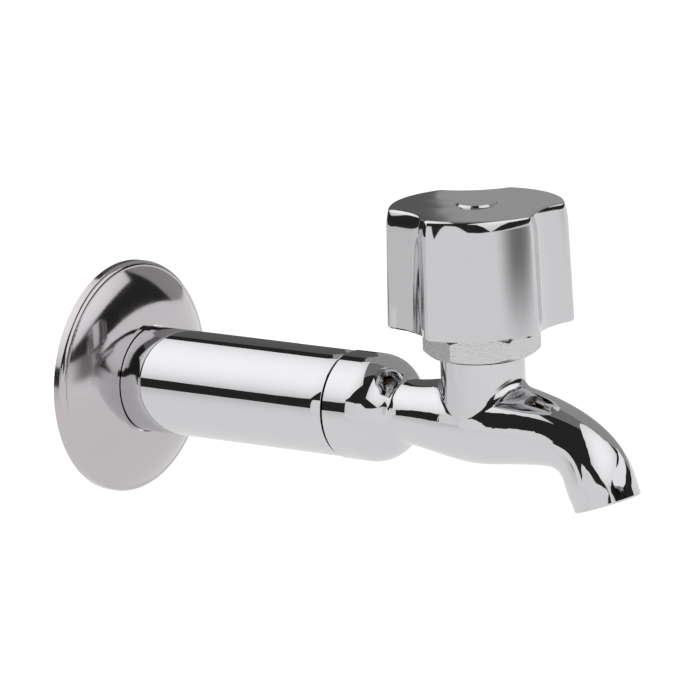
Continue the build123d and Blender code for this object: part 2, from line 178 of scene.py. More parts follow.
# Chrome over die-cast zinc: smooth, with the slow upright waves that a cooled casting keeps.
dieCastChrome = {
    "colour": "CECED0", "roughness": (0.045, 0.08), "waveSize": 11.0, "waveHeight": 0.05,
    "waveStretch": (1.0, 1.0, 0.35),
}


def makeDieCastChrome():
    s = dieCastChrome
    material, tree = newMaterial("dieCastChromePlate")
    place = addNode(tree, "ShaderNodeTexCoord").outputs["Object"]
    upright = addNode(tree, "ShaderNodeMapping", {"Vector": place, "Scale": s["waveStretch"]})
    wave = addNode(tree, "ShaderNodeTexNoise", {
        "Vector": upright.outputs[0], "Scale": perMetre(s["waveSize"]), "Detail": 1.0, "Roughness": 0.4})
    low = addNode(tree, "ShaderNodeBump", {
        "Height": wave.outputs[0], "Strength": 1.0, "Distance": s["waveHeight"] * mm})
    rough = addNode(tree, "ShaderNodeMapRange", {
        "Value": wave.outputs[0], "From Min": noiseLow, "From Max": noiseHigh,
        "To Min": s["roughness"][0], "To Max": s["roughness"][1]})
    shader = addNode(tree, "ShaderNodeBsdfPrincipled", {
        "Base Color": linear(s["colour"]), "Metallic": 1.0, "Roughness": rough.outputs[0],
        "Normal": low.outputs[0]})
    addNode(tree, "ShaderNodeOutputMaterial", {"Surface": shader.outputs["BSDF"]})
    return material


# Chrome over shot-blasted brass: the plate follows the grit's pits, so it sparkles and never mirrors.
# Real grit leaves pits of about 0.1 mm. These are coarser, so that they show.
blastedChrome = {
    "colour": "D8D8D8", "roughness": 0.28, "gritSize": 0.42, "gritHeight": 0.17,
    "lumpSize": 1.3, "lumpHeight": 0.02,
}


def makeBlastedChrome():
    s = blastedChrome
    material, tree = newMaterial("blastedChromePlate")
    place = addNode(tree, "ShaderNodeTexCoord").outputs["Object"]
    grit = addNode(tree, "ShaderNodeTexNoise", {
        "Vector": place, "Scale": perMetre(s["gritSize"]), "Detail": 2.0, "Roughness": 0.6})
    lump = addNode(tree, "ShaderNodeTexNoise", {
        "Vector": place, "Scale": perMetre(s["lumpSize"]), "Detail": 2.0})
    low = addNode(tree, "ShaderNodeBump", {
        "Height": lump.outputs[0], "Strength": 1.0, "Distance": s["lumpHeight"] * mm})
    fine = addNode(tree, "ShaderNodeBump", {
        "Height": grit.outputs[0], "Strength": 1.0, "Distance": s["gritHeight"] * mm,
        "Normal": low.outputs[0]})
    shader = addNode(tree, "ShaderNodeBsdfPrincipled", {
        "Base Color": linear(s["colour"]), "Metallic": 1.0, "Roughness": s["roughness"],
        "Normal": fine.outputs[0]})
    addNode(tree, "ShaderNodeOutputMaterial", {"Surface": shader.outputs["BSDF"]})
    return material


# Turned brass: warm, with tool lines round the valve's axis that stretch each highlight.
# A real feed is about 0.2 mm. These lines are wider apart, so that they show.
turnedBrass = {
    "colour": "A8936A", "dark": "7F6C4B", "roughness": 0.36,
    "lineSpacing": 1.57, "lineHeight": 0.004, "stainSize": 4.0,
}


def makeTurnedBrass():
    s = turnedBrass
    material, tree = newMaterial("turnedBrass")
    place = addNode(tree, "ShaderNodeTexCoord").outputs["Object"]
    lines = addNode(tree, "ShaderNodeTexWave", {
        "Vector": place, "Scale": waveScale(s["lineSpacing"]), "Distortion": 0.4},
        wave_type="BANDS", bands_direction="Z")
    bump = addNode(tree, "ShaderNodeBump", {
        "Height": lines.outputs["Fac"], "Strength": 1.0, "Distance": s["lineHeight"] * mm})
    stain = addNode(tree, "ShaderNodeTexNoise", {
        "Vector": place, "Scale": perMetre(s["stainSize"]), "Detail": 4.0})
    tone = addNode(tree, "ShaderNodeMix", {
        "Factor": stain.outputs[0], "A": linear(s["colour"]), "B": linear(s["dark"])}, data_type="RGBA")
    shader = addNode(tree, "ShaderNodeBsdfPrincipled", {
        "Base Color": tone.outputs["Result"], "Metallic": 1.0, "Roughness": s["roughness"],
        "Normal": bump.outputs[0]})
    addNode(tree, "ShaderNodeOutputMaterial", {"Surface": shader.outputs["BSDF"]})
    return material


# Chrome over moulded ABS: a clear mirror with the faint orange peel of a moulded, plated skin.
platedPlastic = {"colour": "CBCBCD", "roughness": (0.04, 0.07), "peelSize": 0.9, "peelHeight": 0.003}


def makePlatedPlastic():
    s = platedPlastic
    material, tree = newMaterial("chromePlatedAbs")
    place = addNode(tree, "ShaderNodeTexCoord").outputs["Object"]
    peel = addNode(tree, "ShaderNodeTexNoise", {
        "Vector": place, "Scale": perMetre(s["peelSize"]), "Detail": 2.0})
    bump = addNode(tree, "ShaderNodeBump", {
        "Height": peel.outputs[0], "Strength": 1.0, "Distance": s["peelHeight"] * mm})
    rough = addNode(tree, "ShaderNodeMapRange", {
        "Value": peel.outputs[0], "From Min": noiseLow, "From Max": noiseHigh,
        "To Min": s["roughness"][0], "To Max": s["roughness"][1]})
    shader = addNode(tree, "ShaderNodeBsdfPrincipled", {
        "Base Color": linear(s["colour"]), "Metallic": 1.0, "Roughness": rough.outputs[0],
        "Normal": bump.outputs[0]})
    addNode(tree, "ShaderNodeOutputMaterial", {"Surface": shader.outputs["BSDF"]})
    return material


# Moulded nitrile rubber: near-black and dull, with a fine matt skin and a little pale bloom.
sealRubber = {
    "colour": "1E1E1F", "bloom": "38383A", "roughness": (0.5, 0.68), "ior": 1.52,
    "grainSize": 0.12, "grainHeight": 0.008, "bloomSize": 2.5,
}


def makeSealRubber():
    s = sealRubber
    material, tree = newMaterial("mouldedNitrileRubber")
    place = addNode(tree, "ShaderNodeTexCoord").outputs["Object"]
    grain = addNode(tree, "ShaderNodeTexNoise", {
        "Vector": place, "Scale": perMetre(s["grainSize"]), "Detail": 2.0})
    bloom = addNode(tree, "ShaderNodeTexNoise", {
        "Vector": place, "Scale": perMetre(s["bloomSize"]), "Detail": 4.0})
    tone = addNode(tree, "ShaderNodeMix", {
        "Factor": bloom.outputs[0], "A": linear(s["colour"]), "B": linear(s["bloom"])}, data_type="RGBA")
    rough = addNode(tree, "ShaderNodeMapRange", {
        "Value": bloom.outputs[0], "From Min": noiseLow, "From Max": noiseHigh,
        "To Min": s["roughness"][0], "To Max": s["roughness"][1]})
    bump = addNode(tree, "ShaderNodeBump", {
        "Height": grain.outputs[0], "Strength": 1.0, "Distance": s["grainHeight"] * mm})
    shader = addNode(tree, "ShaderNodeBsdfPrincipled", {
        "Base Color": tone.outputs["Result"], "Roughness": rough.outputs[0], "IOR": s["ior"],
        "Normal": bump.outputs[0]})
    addNode(tree, "ShaderNodeOutputMaterial", {"Surface": shader.outputs["BSDF"]})
    return material


# Pressed ring of plaited packing yarn: pale and fibrous, with painted shade that darkens the hollows between
# the strands.
packingFibre = {
    "colour": "BDB8AE", "hollowShade": "6F6B64", "roughness": 0.8,
    "strand": 0.9, "strandHeight": 0.12, "hair": 0.15, "lay": (0.6, 0.4, 0.0),
}


def makePackingFibre():
    s = packingFibre
    material, tree = newMaterial("plaitedPackingFibre")
    place = addNode(tree, "ShaderNodeTexCoord").outputs["Object"]
    leaning = addNode(tree, "ShaderNodeMapping", {"Vector": place, "Rotation": s["lay"]})
    strands = addNode(tree, "ShaderNodeTexWave", {
        "Vector": leaning.outputs[0], "Scale": waveScale(s["strand"]), "Distortion": 2.5, "Detail": 3.0,
        "Detail Scale": s["strand"] / s["hair"]})
    # painted shade: the low parts of the strand wave take a darker colour, as shade in the hollows
    tone = addNode(tree, "ShaderNodeMix", {
        "Factor": strands.outputs["Fac"], "A": linear(s["hollowShade"]), "B": linear(s["colour"])},
        data_type="RGBA")
    bump = addNode(tree, "ShaderNodeBump", {
        "Height": strands.outputs["Fac"], "Strength": 1.0, "Distance": s["strandHeight"] * mm})
    shader = addNode(tree, "ShaderNodeBsdfPrincipled", {
        "Base Color": tone.outputs["Result"], "Roughness": s["roughness"], "Normal": bump.outputs[0]})
    addNode(tree, "ShaderNodeOutputMaterial", {"Surface": shader.outputs["BSDF"]})
    return material


# Moulded acetal: milky and waxy, so light goes a little way in and the gloss stays soft.
mouldedAcetal = {
    "colour": "DADAD6", "shade": "CBCBC4", "roughness": (0.28, 0.38), "ior": 1.48,
    "milkiness": 0.15, "lightDepth": 0.8, "flowSize": 5.0, "skinSize": 0.5, "skinHeight": 0.004,
}


def makeMouldedAcetal():
    s = mouldedAcetal
    material, tree = newMaterial("mouldedAcetal")
    place = addNode(tree, "ShaderNodeTexCoord").outputs["Object"]
    flow = addNode(tree, "ShaderNodeTexNoise", {
        "Vector": place, "Scale": perMetre(s["flowSize"]), "Detail": 3.0})
    skin = addNode(tree, "ShaderNodeTexNoise", {
        "Vector": place, "Scale": perMetre(s["skinSize"]), "Detail": 2.0})
    tone = addNode(tree, "ShaderNodeMix", {
        "Factor": flow.outputs[0], "A": linear(s["colour"]), "B": linear(s["shade"])}, data_type="RGBA")
    rough = addNode(tree, "ShaderNodeMapRange", {
        "Value": flow.outputs[0], "From Min": noiseLow, "From Max": noiseHigh,
        "To Min": s["roughness"][0], "To Max": s["roughness"][1]})
    bump = addNode(tree, "ShaderNodeBump", {
        "Height": skin.outputs[0], "Strength": 1.0, "Distance": s["skinHeight"] * mm})
    shader = addNode(tree, "ShaderNodeBsdfPrincipled", {
        "Base Color": tone.outputs["Result"], "Roughness": rough.outputs[0], "IOR": s["ior"],
        "Subsurface Weight": s["milkiness"], "Subsurface Scale": s["lightDepth"] * mm,
        "Normal": bump.outputs[0]})
    addNode(tree, "ShaderNodeOutputMaterial", {"Surface": shader.outputs["BSDF"]})
    return material


# Zinc plate over cold-headed steel: grey with a blue cast, cloudy where the passivation is thicker.
zincPlate = {
    "colour": "A9ACB2", "cloud": "9A9890", "roughness": (0.26, 0.42),
    "cloudSize": 3.0, "grainSize": 0.3, "grainHeight": 0.004,
}


def makeZincPlate():
    s = zincPlate
    material, tree = newMaterial("zincPlatedSteel")
    place = addNode(tree, "ShaderNodeTexCoord").outputs["Object"]
    cloud = addNode(tree, "ShaderNodeTexNoise", {
        "Vector": place, "Scale": perMetre(s["cloudSize"]), "Detail": 4.0})
    grain = addNode(tree, "ShaderNodeTexNoise", {
        "Vector": place, "Scale": perMetre(s["grainSize"]), "Detail": 2.0})
    tone = addNode(tree, "ShaderNodeMix", {
        "Factor": cloud.outputs[0], "A": linear(s["colour"]), "B": linear(s["cloud"])}, data_type="RGBA")
    rough = addNode(tree, "ShaderNodeMapRange", {
        "Value": cloud.outputs[0], "From Min": noiseLow, "From Max": noiseHigh,
        "To Min": s["roughness"][0], "To Max": s["roughness"][1]})
    bump = addNode(tree, "ShaderNodeBump", {
        "Height": grain.outputs[0], "Strength": 1.0, "Distance": s["grainHeight"] * mm})
    shader = addNode(tree, "ShaderNodeBsdfPrincipled", {
        "Base Color": tone.outputs["Result"], "Metallic": 1.0, "Roughness": rough.outputs[0],
        "Normal": bump.outputs[0]})
    addNode(tree, "ShaderNodeOutputMaterial", {"Surface": shader.outputs["BSDF"]})
    return material


buffed = makeBuffedChrome()
pressed = makePressedChrome()
dieCast = makeDieCastChrome()
blasted = makeBlastedChrome()
brass = makeTurnedBrass()
rubber = makeSealRubber()
zinc = makeZincPlate()

# Every inner piece that isn't named here is turned brass.
looks = {
    "wall_flange": pressed, "barrel": buffed, "tap_body": buffed, "knob": dieCast,
    "index_button": makePlatedPlastic(), "bonnet": blasted, "barrel_seal": rubber,
    "bonnet_washer": rubber, "seat_washer": rubber, "gland_packing": makePackingFibre(),
    "spline_insert": makeMouldedAcetal(), "screw_washer": zinc, "knob_screw": zinc,
}
for name, node in frame["nodes"].items():
    node.data.materials.clear()
    node.data.materials.append(looks.get(name, brass))
print("materials made")

# the valve's upright axis, in millimetres along the barrel
valveX = (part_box("bonnet")[0][0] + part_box("bonnet")[1][0]) / 2 / mm


def ringPiece(name, rings, material, creaseAngle):
    # one closed skin through a stack of rings that all have the same number of points
    count = len(rings[0])
    points = [Vector(p) * mm for ring in rings for p in ring]
    faces = []
    for r in range(len(rings)):
        low, high = r * count, (r + 1) % len(rings) * count
        for k in range(count):
            n = (k + 1) % count
            faces.append((low + k, low + n, high + n, high + k))
    mesh = bpy.data.meshes.new(name)
    mesh.from_pydata(points, [], faces)
    skin = bmesh.new()
    skin.from_mesh(mesh)
    bmesh.ops.recalc_face_normals(skin, faces=skin.faces)
    skin.to_mesh(mesh)
    skin.free()
    mesh.shade_smooth()
    mesh.set_sharp_from_angle(angle=radians(creaseAngle))
    mesh.materials.append(material)
    piece = bpy.data.objects.new(name, mesh)
    scene.collection.objects.link(piece)
    return piece


def standFor(piece, nodeName):
    # the piece takes the node's place and moves with its body
    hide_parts(nodeName)
    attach(piece, frame["nodes"][nodeName]["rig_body"])


def valveRing(z, radius, angles):
    return [(valveX + radius * cos(a), radius * sin(a), z) for a in angles]


# The knob, in millimetres and degrees: three lobes with scallops between, a crowned upper edge
# and a hollow underside with a boss
knob = {
    "bottomZ": 26.0, "topZ": 57.0, "bottomRadius": 24.0, "topRadius": 23.2,
    "bottomDepth": 3.8, "topDepth": 4.0, "scallopHalfAngle": 22.5, "lobeAngle": -54.0,
    "corner": 2.4, "innerCorner": 1.5, "wall": 3.0, "bottomEdge": 0.5,
    "topEdge": 0.9, "crownZ": 51.6, "crownTilt": 13.5, "flatMargin": 0.06,
    "ceilingZ": 53.4, "bossRadius": 8.4, "bossZ": 40.2, "webBottomZ": 50.6, "webTopZ": 51.5,
    "socketRadius": 6.06, "socketFlat": 5.26, "screwHole": 2.3, "screwPocket": 4.7,
    "buttonSeatZ": 55.2, "buttonRadius": 5.36, "crease": 28,
    "lobeSteps": 30, "cornerSteps": 8, "scallopSteps": 20, "sideSteps": 9, "crownSteps": 7, "edgeSteps": 10,
}


def arcPoints(centre, radius, start, end, steps):
    return [(centre[0] + radius * cos(start + (end - start) * k / steps),
             centre[1] + radius * sin(start + (end - start) * k / steps)) for k in range(steps)]


def lobedRing(z, radius, depth, corner, inset=0.0):
    # every arc of the outline keeps its centre when the outline moves inwards
    half = radians(knob["scallopHalfAngle"])
    scallop = radius - depth
    rise = radius * cos(half) - scallop
    chord = radius * sin(half)
    cutter = (rise ** 2 + chord ** 2) / (2 * rise)
    reach = scallop + cutter
    pivot = radius - corner
    lean = acos((pivot ** 2 + reach ** 2 - (cutter + corner) ** 2) / (2 * pivot * reach))
    outline = []
    for lobe in range(3):
        before = radians(knob["lobeAngle"] + 120 * (lobe - 0.5))
        after = radians(knob["lobeAngle"] + 120 * (lobe + 0.5))
        cutCentre = (reach * cos(after), reach * sin(after))
        first = (pivot * cos(after - lean), pivot * sin(after - lean))
        second = (pivot * cos(after + lean), pivot * sin(after + lean))
        toFirst = atan2(first[1] - cutCentre[1], first[0] - cutCentre[0])
        toSecond = atan2(second[1] - cutCentre[1], second[0] - cutCentre[0])
        sweep = (toSecond - toFirst + pi) % (2 * pi) - pi
        turnIn = (toFirst + pi - (after - lean) + pi) % (2 * pi) - pi
        outline += arcPoints((0, 0), radius - inset, before + lean, after - lean, knob["lobeSteps"])
        outline += arcPoints(first, corner - inset, after - lean, after - lean + turnIn, knob["cornerSteps"])
        outline += arcPoints(cutCentre, cutter + inset, toFirst, toFirst + sweep, knob["scallopSteps"])
        outline += arcPoints(second, corner - inset, toSecond + pi, toSecond + pi + turnIn,
                             knob["cornerSteps"])
    return [(valveX + x, y, z) for x, y in outline]


def sideRing(z, inset):
    share = (z - knob["bottomZ"]) / (knob["topZ"] - knob["bottomZ"])
    radius = knob["bottomRadius"] + (knob["topRadius"] - knob["bottomRadius"]) * share
    depth = knob["bottomDepth"] + (knob["topDepth"] - knob["bottomDepth"]) * share
    return lobedRing(z, radius, depth, knob["corner"], inset)


def makeKnob():
    k = knob
    tilt = radians(k["crownTilt"])
    sideZ = k["bottomZ"] + k["bottomEdge"]
    edgeZ = k["topZ"] - k["topEdge"]
    crownHeight = edgeZ + k["topEdge"] * sin(tilt) - k["crownZ"]
    curve = tan(tilt) / 2 / crownHeight
    inset = curve * crownHeight ** 2
    rings = [sideRing(k["bottomZ"], k["bottomEdge"]), sideRing(sideZ, 0)]
    for step in range(1, k["sideSteps"] + 1):
        rings.append(sideRing(sideZ + (k["crownZ"] - sideZ) * step / k["sideSteps"], 0))
    for step in range(1, k["crownSteps"] + 1):
        up = crownHeight * step / k["crownSteps"]
        rings.append(sideRing(k["crownZ"] + up, curve * up ** 2))
    for step in range(1, k["edgeSteps"] + 1):
        turn = tilt + (pi / 2 - tilt) * step / k["edgeSteps"]
        rings.append(sideRing(edgeZ + k["topEdge"] * sin(turn),
                              inset + k["topEdge"] * (cos(tilt) - cos(turn))))
    rings.append(sideRing(k["topZ"], inset + k["topEdge"] * cos(tilt) + k["flatMargin"]))
    angles = [atan2(p[1], p[0] - valveX) for p in rings[-1]]

    def flatRing(z):
        # the spline's socket has two flats
        return [(valveX + max(-k["socketFlat"], min(k["socketFlat"], x - valveX)), y, top)
                for x, y, top in valveRing(z, k["socketRadius"], angles)]

    rings += [valveRing(z, radius, angles) for z, radius in (
        (k["topZ"], k["buttonRadius"]), (k["buttonSeatZ"], k["buttonRadius"]),
        (k["buttonSeatZ"], k["screwPocket"]), (k["webTopZ"], k["screwPocket"]),
        (k["webTopZ"], k["screwHole"]), (k["webBottomZ"], k["screwHole"]))]
    rings += [
        flatRing(k["webBottomZ"]), flatRing(k["bossZ"]),
        valveRing(k["bossZ"], k["bossRadius"], angles), valveRing(k["ceilingZ"], k["bossRadius"], angles),
        lobedRing(k["ceilingZ"], k["topRadius"] - k["wall"], k["topDepth"], k["innerCorner"]),
        lobedRing(k["bottomZ"], k["bottomRadius"] - k["wall"], k["bottomDepth"], k["innerCorner"]),
    ]
    piece = ringPiece("lobedKnob", rings, dieCast, k["crease"])
    standFor(piece, "knob")
    print("knob made", len(piece.data.vertices))


makeKnob()


def newTree(name, sizes):
    # a shape tree takes a mesh, its named sizes and a finish, and gives a mesh
    tree = bpy.data.node_groups.new(name, "GeometryNodeTree")
    tree.is_modifier = True
    face = tree.interface
    face.new_socket("Geometry", in_out="INPUT", socket_type="NodeSocketGeometry")
    for size in sizes:
        face.new_socket(size, in_out="INPUT", socket_type="NodeSocketFloat")
    face.new_socket("Finish", in_out="INPUT", socket_type="NodeSocketMaterial")
    face.new_socket("Geometry", in_out="OUTPUT", socket_type="NodeSocketGeometry")
    return tree, addNode(tree, "NodeGroupInput").outputs


def finishTree(tree, geometry, finish):
    whole = addNode(tree, "GeometryNodeRealizeInstances", {"Geometry": geometry})
    finished = addNode(tree, "GeometryNodeSetMaterial", {"Geometry": whole.outputs[0], "Material": finish})
    addNode(tree, "NodeGroupOutput", {"Geometry": finished.outputs[0]})


def applyTree(piece, tree, values):
    modifier = piece.modifiers.new(tree.name, "NODES")
    modifier.node_group = tree
    for item in tree.interface.items_tree:
        if item.in_out == "INPUT" and item.name in values:
            modifier[item.identifier] = values[item.name]
    bpy.context.view_layer.update()
    shaped = bpy.data.meshes.new_from_object(piece.evaluated_get(bpy.context.evaluated_depsgraph_get()))
    piece.modifiers.remove(modifier)
    shaped.name = piece.name
    piece.data = shaped


# The barrel, in millimetres along its axis, with the inlet's pipe thread cut into its wall end.
# Its far end stops short of the collar, so that the seam is a thin dark slot.
barrel = {
    "outer": 14.0, "bore": 6.5, "nearX": -12.0, "shoulderX": 3.0, "farX": 74.65,
    "socketRadius": 11.0, "socketX": 61.2, "edge": 0.35, "lip": 0.08, "rollLength": 3.2, "rollDrop": 0.18,
    "threadRadius": 10.4775, "threadPitch": 1.814, "threadDepth": 1.162, "threadChamfer": 1.2,
    "reliefX": 1.2, "reliefDepth": 1.3, "crease": 30,
    "steps": 160, "threadRow": 0.09, "threadMargin": 0.01,
    "chamferSteps": 12, "slopeSteps": 8, "rollSteps": 8,
}

# The flank is a mix of a rounded rise and a straight one, which rounds root and crest as a die does.
# Each pair is where the rise starts and ends, as a share of the way from root to crest.
threadForm = {"rounded": (0.10, 0.90), "straight": (0.12, 0.88), "roundedShare": 0.55}


def threadTree():
    # moves every point of the wall end in to the thread's form, where the form lies below it
    s = threadForm
    tree, given = newTree("cutThread", ("Crest radius", "Depth", "Pitch", "Thread end"))
    position = addNode(tree, "GeometryNodeInputPosition").outputs[0]
    x, y, z = addNode(tree, "ShaderNodeSeparateXYZ", {0: position}).outputs
    ySquared = addNode(tree, "ShaderNodeMath", {0: y, 1: y}, operation="MULTIPLY").outputs[0]
    zSquared = addNode(tree, "ShaderNodeMath", {0: z, 1: z}, operation="MULTIPLY").outputs[0]
    squares = addNode(tree, "ShaderNodeMath", {0: ySquared, 1: zSquared}, operation="ADD").outputs[0]
    radius = addNode(tree, "ShaderNodeMath", {0: squares}, operation="SQRT").outputs[0]
    angle = addNode(tree, "ShaderNodeMath", {0: z, 1: y}, operation="ARCTAN2").outputs[0]
    turn = addNode(tree, "ShaderNodeMath", {0: angle, 1: 2 * pi}, operation="DIVIDE").outputs[0]
    pitches = addNode(tree, "ShaderNodeMath", {0: x, 1: given["Pitch"]}, operation="DIVIDE").outputs[0]
    along = addNode(tree, "ShaderNodeMath", {0: pitches, 1: turn}, operation="SUBTRACT").outputs[0]
    phase = addNode(tree, "ShaderNodeMath", {0: along}, operation="FRACT").outputs[0]
    doubled = addNode(tree, "ShaderNodeMath", {0: phase, 1: 2.0}, operation="MULTIPLY").outputs[0]
    signed = addNode(tree, "ShaderNodeMath", {0: doubled, 1: 1.0}, operation="SUBTRACT").outputs[0]
    flank = addNode(tree, "ShaderNodeMath", {0: signed}, operation="ABSOLUTE").outputs[0]
    rounded = addNode(tree, "ShaderNodeMapRange", {
        "Value": flank, "From Min": s["rounded"][0], "From Max": s["rounded"][1]},
        interpolation_type="SMOOTHSTEP").outputs[0]
    straight = addNode(tree, "ShaderNodeMapRange", {
        "Value": flank, "From Min": s["straight"][0], "From Max": s["straight"][1]}).outputs[0]
    roundedPart = addNode(tree, "ShaderNodeMath", {
        0: rounded, 1: s["roundedShare"]}, operation="MULTIPLY").outputs[0]
    straightPart = addNode(tree, "ShaderNodeMath", {
        0: straight, 1: 1 - s["roundedShare"]}, operation="MULTIPLY").outputs[0]
    form = addNode(tree, "ShaderNodeMath", {0: roundedPart, 1: straightPart}, operation="ADD").outputs[0]
    root = addNode(tree, "ShaderNodeMath", {
        0: given["Crest radius"], 1: given["Depth"]}, operation="SUBTRACT").outputs[0]
    height = addNode(tree, "ShaderNodeMath", {0: form, 1: given["Depth"]}, operation="MULTIPLY").outputs[0]
    formed = addNode(tree, "ShaderNodeMath", {0: root, 1: height}, operation="ADD").outputs[0]
    cut = addNode(tree, "ShaderNodeMath", {0: formed, 1: radius}, operation="MINIMUM").outputs[0]
    share = addNode(tree, "ShaderNodeMath", {0: cut, 1: radius}, operation="DIVIDE").outputs[0]
    newY = addNode(tree, "ShaderNodeMath", {0: y, 1: share}, operation="MULTIPLY").outputs[0]
    newZ = addNode(tree, "ShaderNodeMath", {0: z, 1: share}, operation="MULTIPLY").outputs[0]
    moved = addNode(tree, "ShaderNodeCombineXYZ", {0: x, 1: newY, 2: newZ}).outputs[0]
    atWallEnd = addNode(tree, "ShaderNodeMath", {
        0: x, 1: given["Thread end"]}, operation="LESS_THAN").outputs[0]
    placed = addNode(tree, "GeometryNodeSetPosition", {
        "Geometry": given["Geometry"], "Selection": atWallEnd, "Position": moved})
    finishTree(tree, placed.outputs[0], given["Finish"])
    return tree


def makeBarrel():
    b = barrel
    crest, neck = b["threadRadius"], b["threadRadius"] - b["reliefDepth"]
    chamferX = b["nearX"] + b["threadChamfer"]
    slopeX = b["reliefX"] - b["reliefDepth"] / 2
    rows = int((b["reliefX"] - chamferX) / b["threadRow"])
    rollStart, rollEnd = b["farX"] - b["rollLength"], b["farX"] - b["lip"]
    profile = [(b["nearX"], b["bore"]), (b["nearX"], crest - b["threadChamfer"])]
    for k in range(1, b["chamferSteps"] + 1):
        share = k / b["chamferSteps"]
        profile.append((b["nearX"] + b["threadChamfer"] * share, crest - b["threadChamfer"] * (1 - share)))
    for k in range(1, rows + 1):
        profile.append((chamferX + (slopeX - chamferX) * k / rows, crest))
    for k in range(1, b["slopeSteps"] + 1):
        share = k / b["slopeSteps"]
        profile.append((slopeX + (b["reliefX"] - slopeX) * share, crest - b["reliefDepth"] * share))
    profile += [(b["shoulderX"], neck), (b["shoulderX"], b["outer"] - b["edge"]),
                (b["shoulderX"] + b["edge"], b["outer"]), (rollStart, b["outer"])]
    for k in range(1, b["rollSteps"] + 1):
        share = k / b["rollSteps"]
        profile.append((rollStart + (rollEnd - rollStart) * share, b["outer"] - b["rollDrop"] * share ** 2))
    profile += [(b["farX"], b["outer"] - b["rollDrop"] - b["lip"]),
                (b["farX"], b["socketRadius"] + b["edge"]), (b["farX"] - b["edge"], b["socketRadius"]),
                (b["socketX"], b["socketRadius"]), (b["socketX"], b["bore"])]
    angles = [2 * pi * k / b["steps"] for k in range(b["steps"])]
    rings = [[(x, r * cos(a), r * sin(a)) for a in angles] for x, r in profile]
    piece = ringPiece("threadedBarrel", rings, buffed, b["crease"])
    applyTree(piece, threadTree(), {
        "Crest radius": crest * mm, "Depth": b["threadDepth"] * mm, "Pitch": b["threadPitch"] * mm,
        "Thread end": (b["reliefX"] + b["threadMargin"]) * mm, "Finish": buffed})
    standFor(piece, "barrel")
    print("barrel made", len(piece.data.vertices))


makeBarrel()


# The bonnet, in millimetres: a hexagon between two cones, the thread below it and the neck above.
# Its pits are coarser than real grit leaves them, so that they show.
bonnet = {
    "threadRadius": 8.34, "threadZ": 10.6, "threadBore": 6.01, "hexZ": 17.9, "hexTopZ": 24.4,
    "acrossFlats": 26.5, "turn": 3.0, "coneAngle": 30.0, "neckRadius": 9.0, "topZ": 36.0,
    "stuffingRadius": 7.0, "stuffingZ": 30.0, "stemBore": 4.56,
    "reliefTopZ": 26.5, "reliefRadius": 6.5, "reliefZ": 23.0, "crease": 50,
    "faceRadius": 9.4, "smoothRadius": 9.3, "gritSize": 0.40, "gritDepth": 0.14,
    "steps": 720, "rows": 50, "faceSteps": 12,
}


def gritTree():
    # the pits that blasting leaves, pushed in square to the surface, on the hexagon alone
    tree, given = newTree("blastGrit", ("Grain", "Depth", "Smooth radius", "Axis place"))
    place = addNode(tree, "GeometryNodeInputPosition").outputs[0]
    normal = addNode(tree, "GeometryNodeInputNormal").outputs[0]
    x, y, z = addNode(tree, "ShaderNodeSeparateXYZ", {0: place}).outputs
    across = addNode(tree, "ShaderNodeMath", {0: x, 1: given["Axis place"]}, operation="SUBTRACT").outputs[0]
    flat = addNode(tree, "ShaderNodeCombineXYZ", {0: across, 1: y}).outputs[0]
    radius = addNode(tree, "ShaderNodeVectorMath", {0: flat}, operation="LENGTH").outputs["Value"]
    outside = addNode(tree, "ShaderNodeMath", {
        0: radius, 1: given["Smooth radius"]}, operation="GREATER_THAN").outputs[0]
    scale = addNode(tree, "ShaderNodeMath", {0: 1.0, 1: given["Grain"]}, operation="DIVIDE").outputs[0]
    grain = addNode(tree, "ShaderNodeTexNoise", {
        "Vector": place, "Scale": scale, "Detail": 2.0, "Roughness": 0.6}).outputs[0]
    depth = addNode(tree, "ShaderNodeMath", {0: grain, 1: given["Depth"]}, operation="MULTIPLY").outputs[0]
    inwards = addNode(tree, "ShaderNodeMath", {0: depth, 1: -1.0}, operation="MULTIPLY").outputs[0]
    offset = addNode(tree, "ShaderNodeVectorMath", {
        0: normal, "Scale": inwards}, operation="SCALE").outputs[0]
    pitted = addNode(tree, "GeometryNodeSetPosition", {
        "Geometry": given["Geometry"], "Selection": outside, "Offset": offset})
    finishTree(tree, pitted.outputs[0], given["Finish"])
    return tree


def hexRing(z):
    # a level cut through the hexagon, which the two cones take the corners off
    b = bonnet
    flat = b["acrossFlats"] / 2
    limit = flat + min(z - b["hexZ"], b["hexTopZ"] - z) / tan(radians(b["coneAngle"]))
    ring = []
    for k in range(b["steps"]):
        a = 2 * pi * k / b["steps"]
        r = min(flat / cos((a + pi / 6) % (pi / 3) - pi / 6), limit)
        turned = a + radians(b["turn"])
        ring.append((valveX + r * cos(turned), r * sin(turned), z))
    return ring


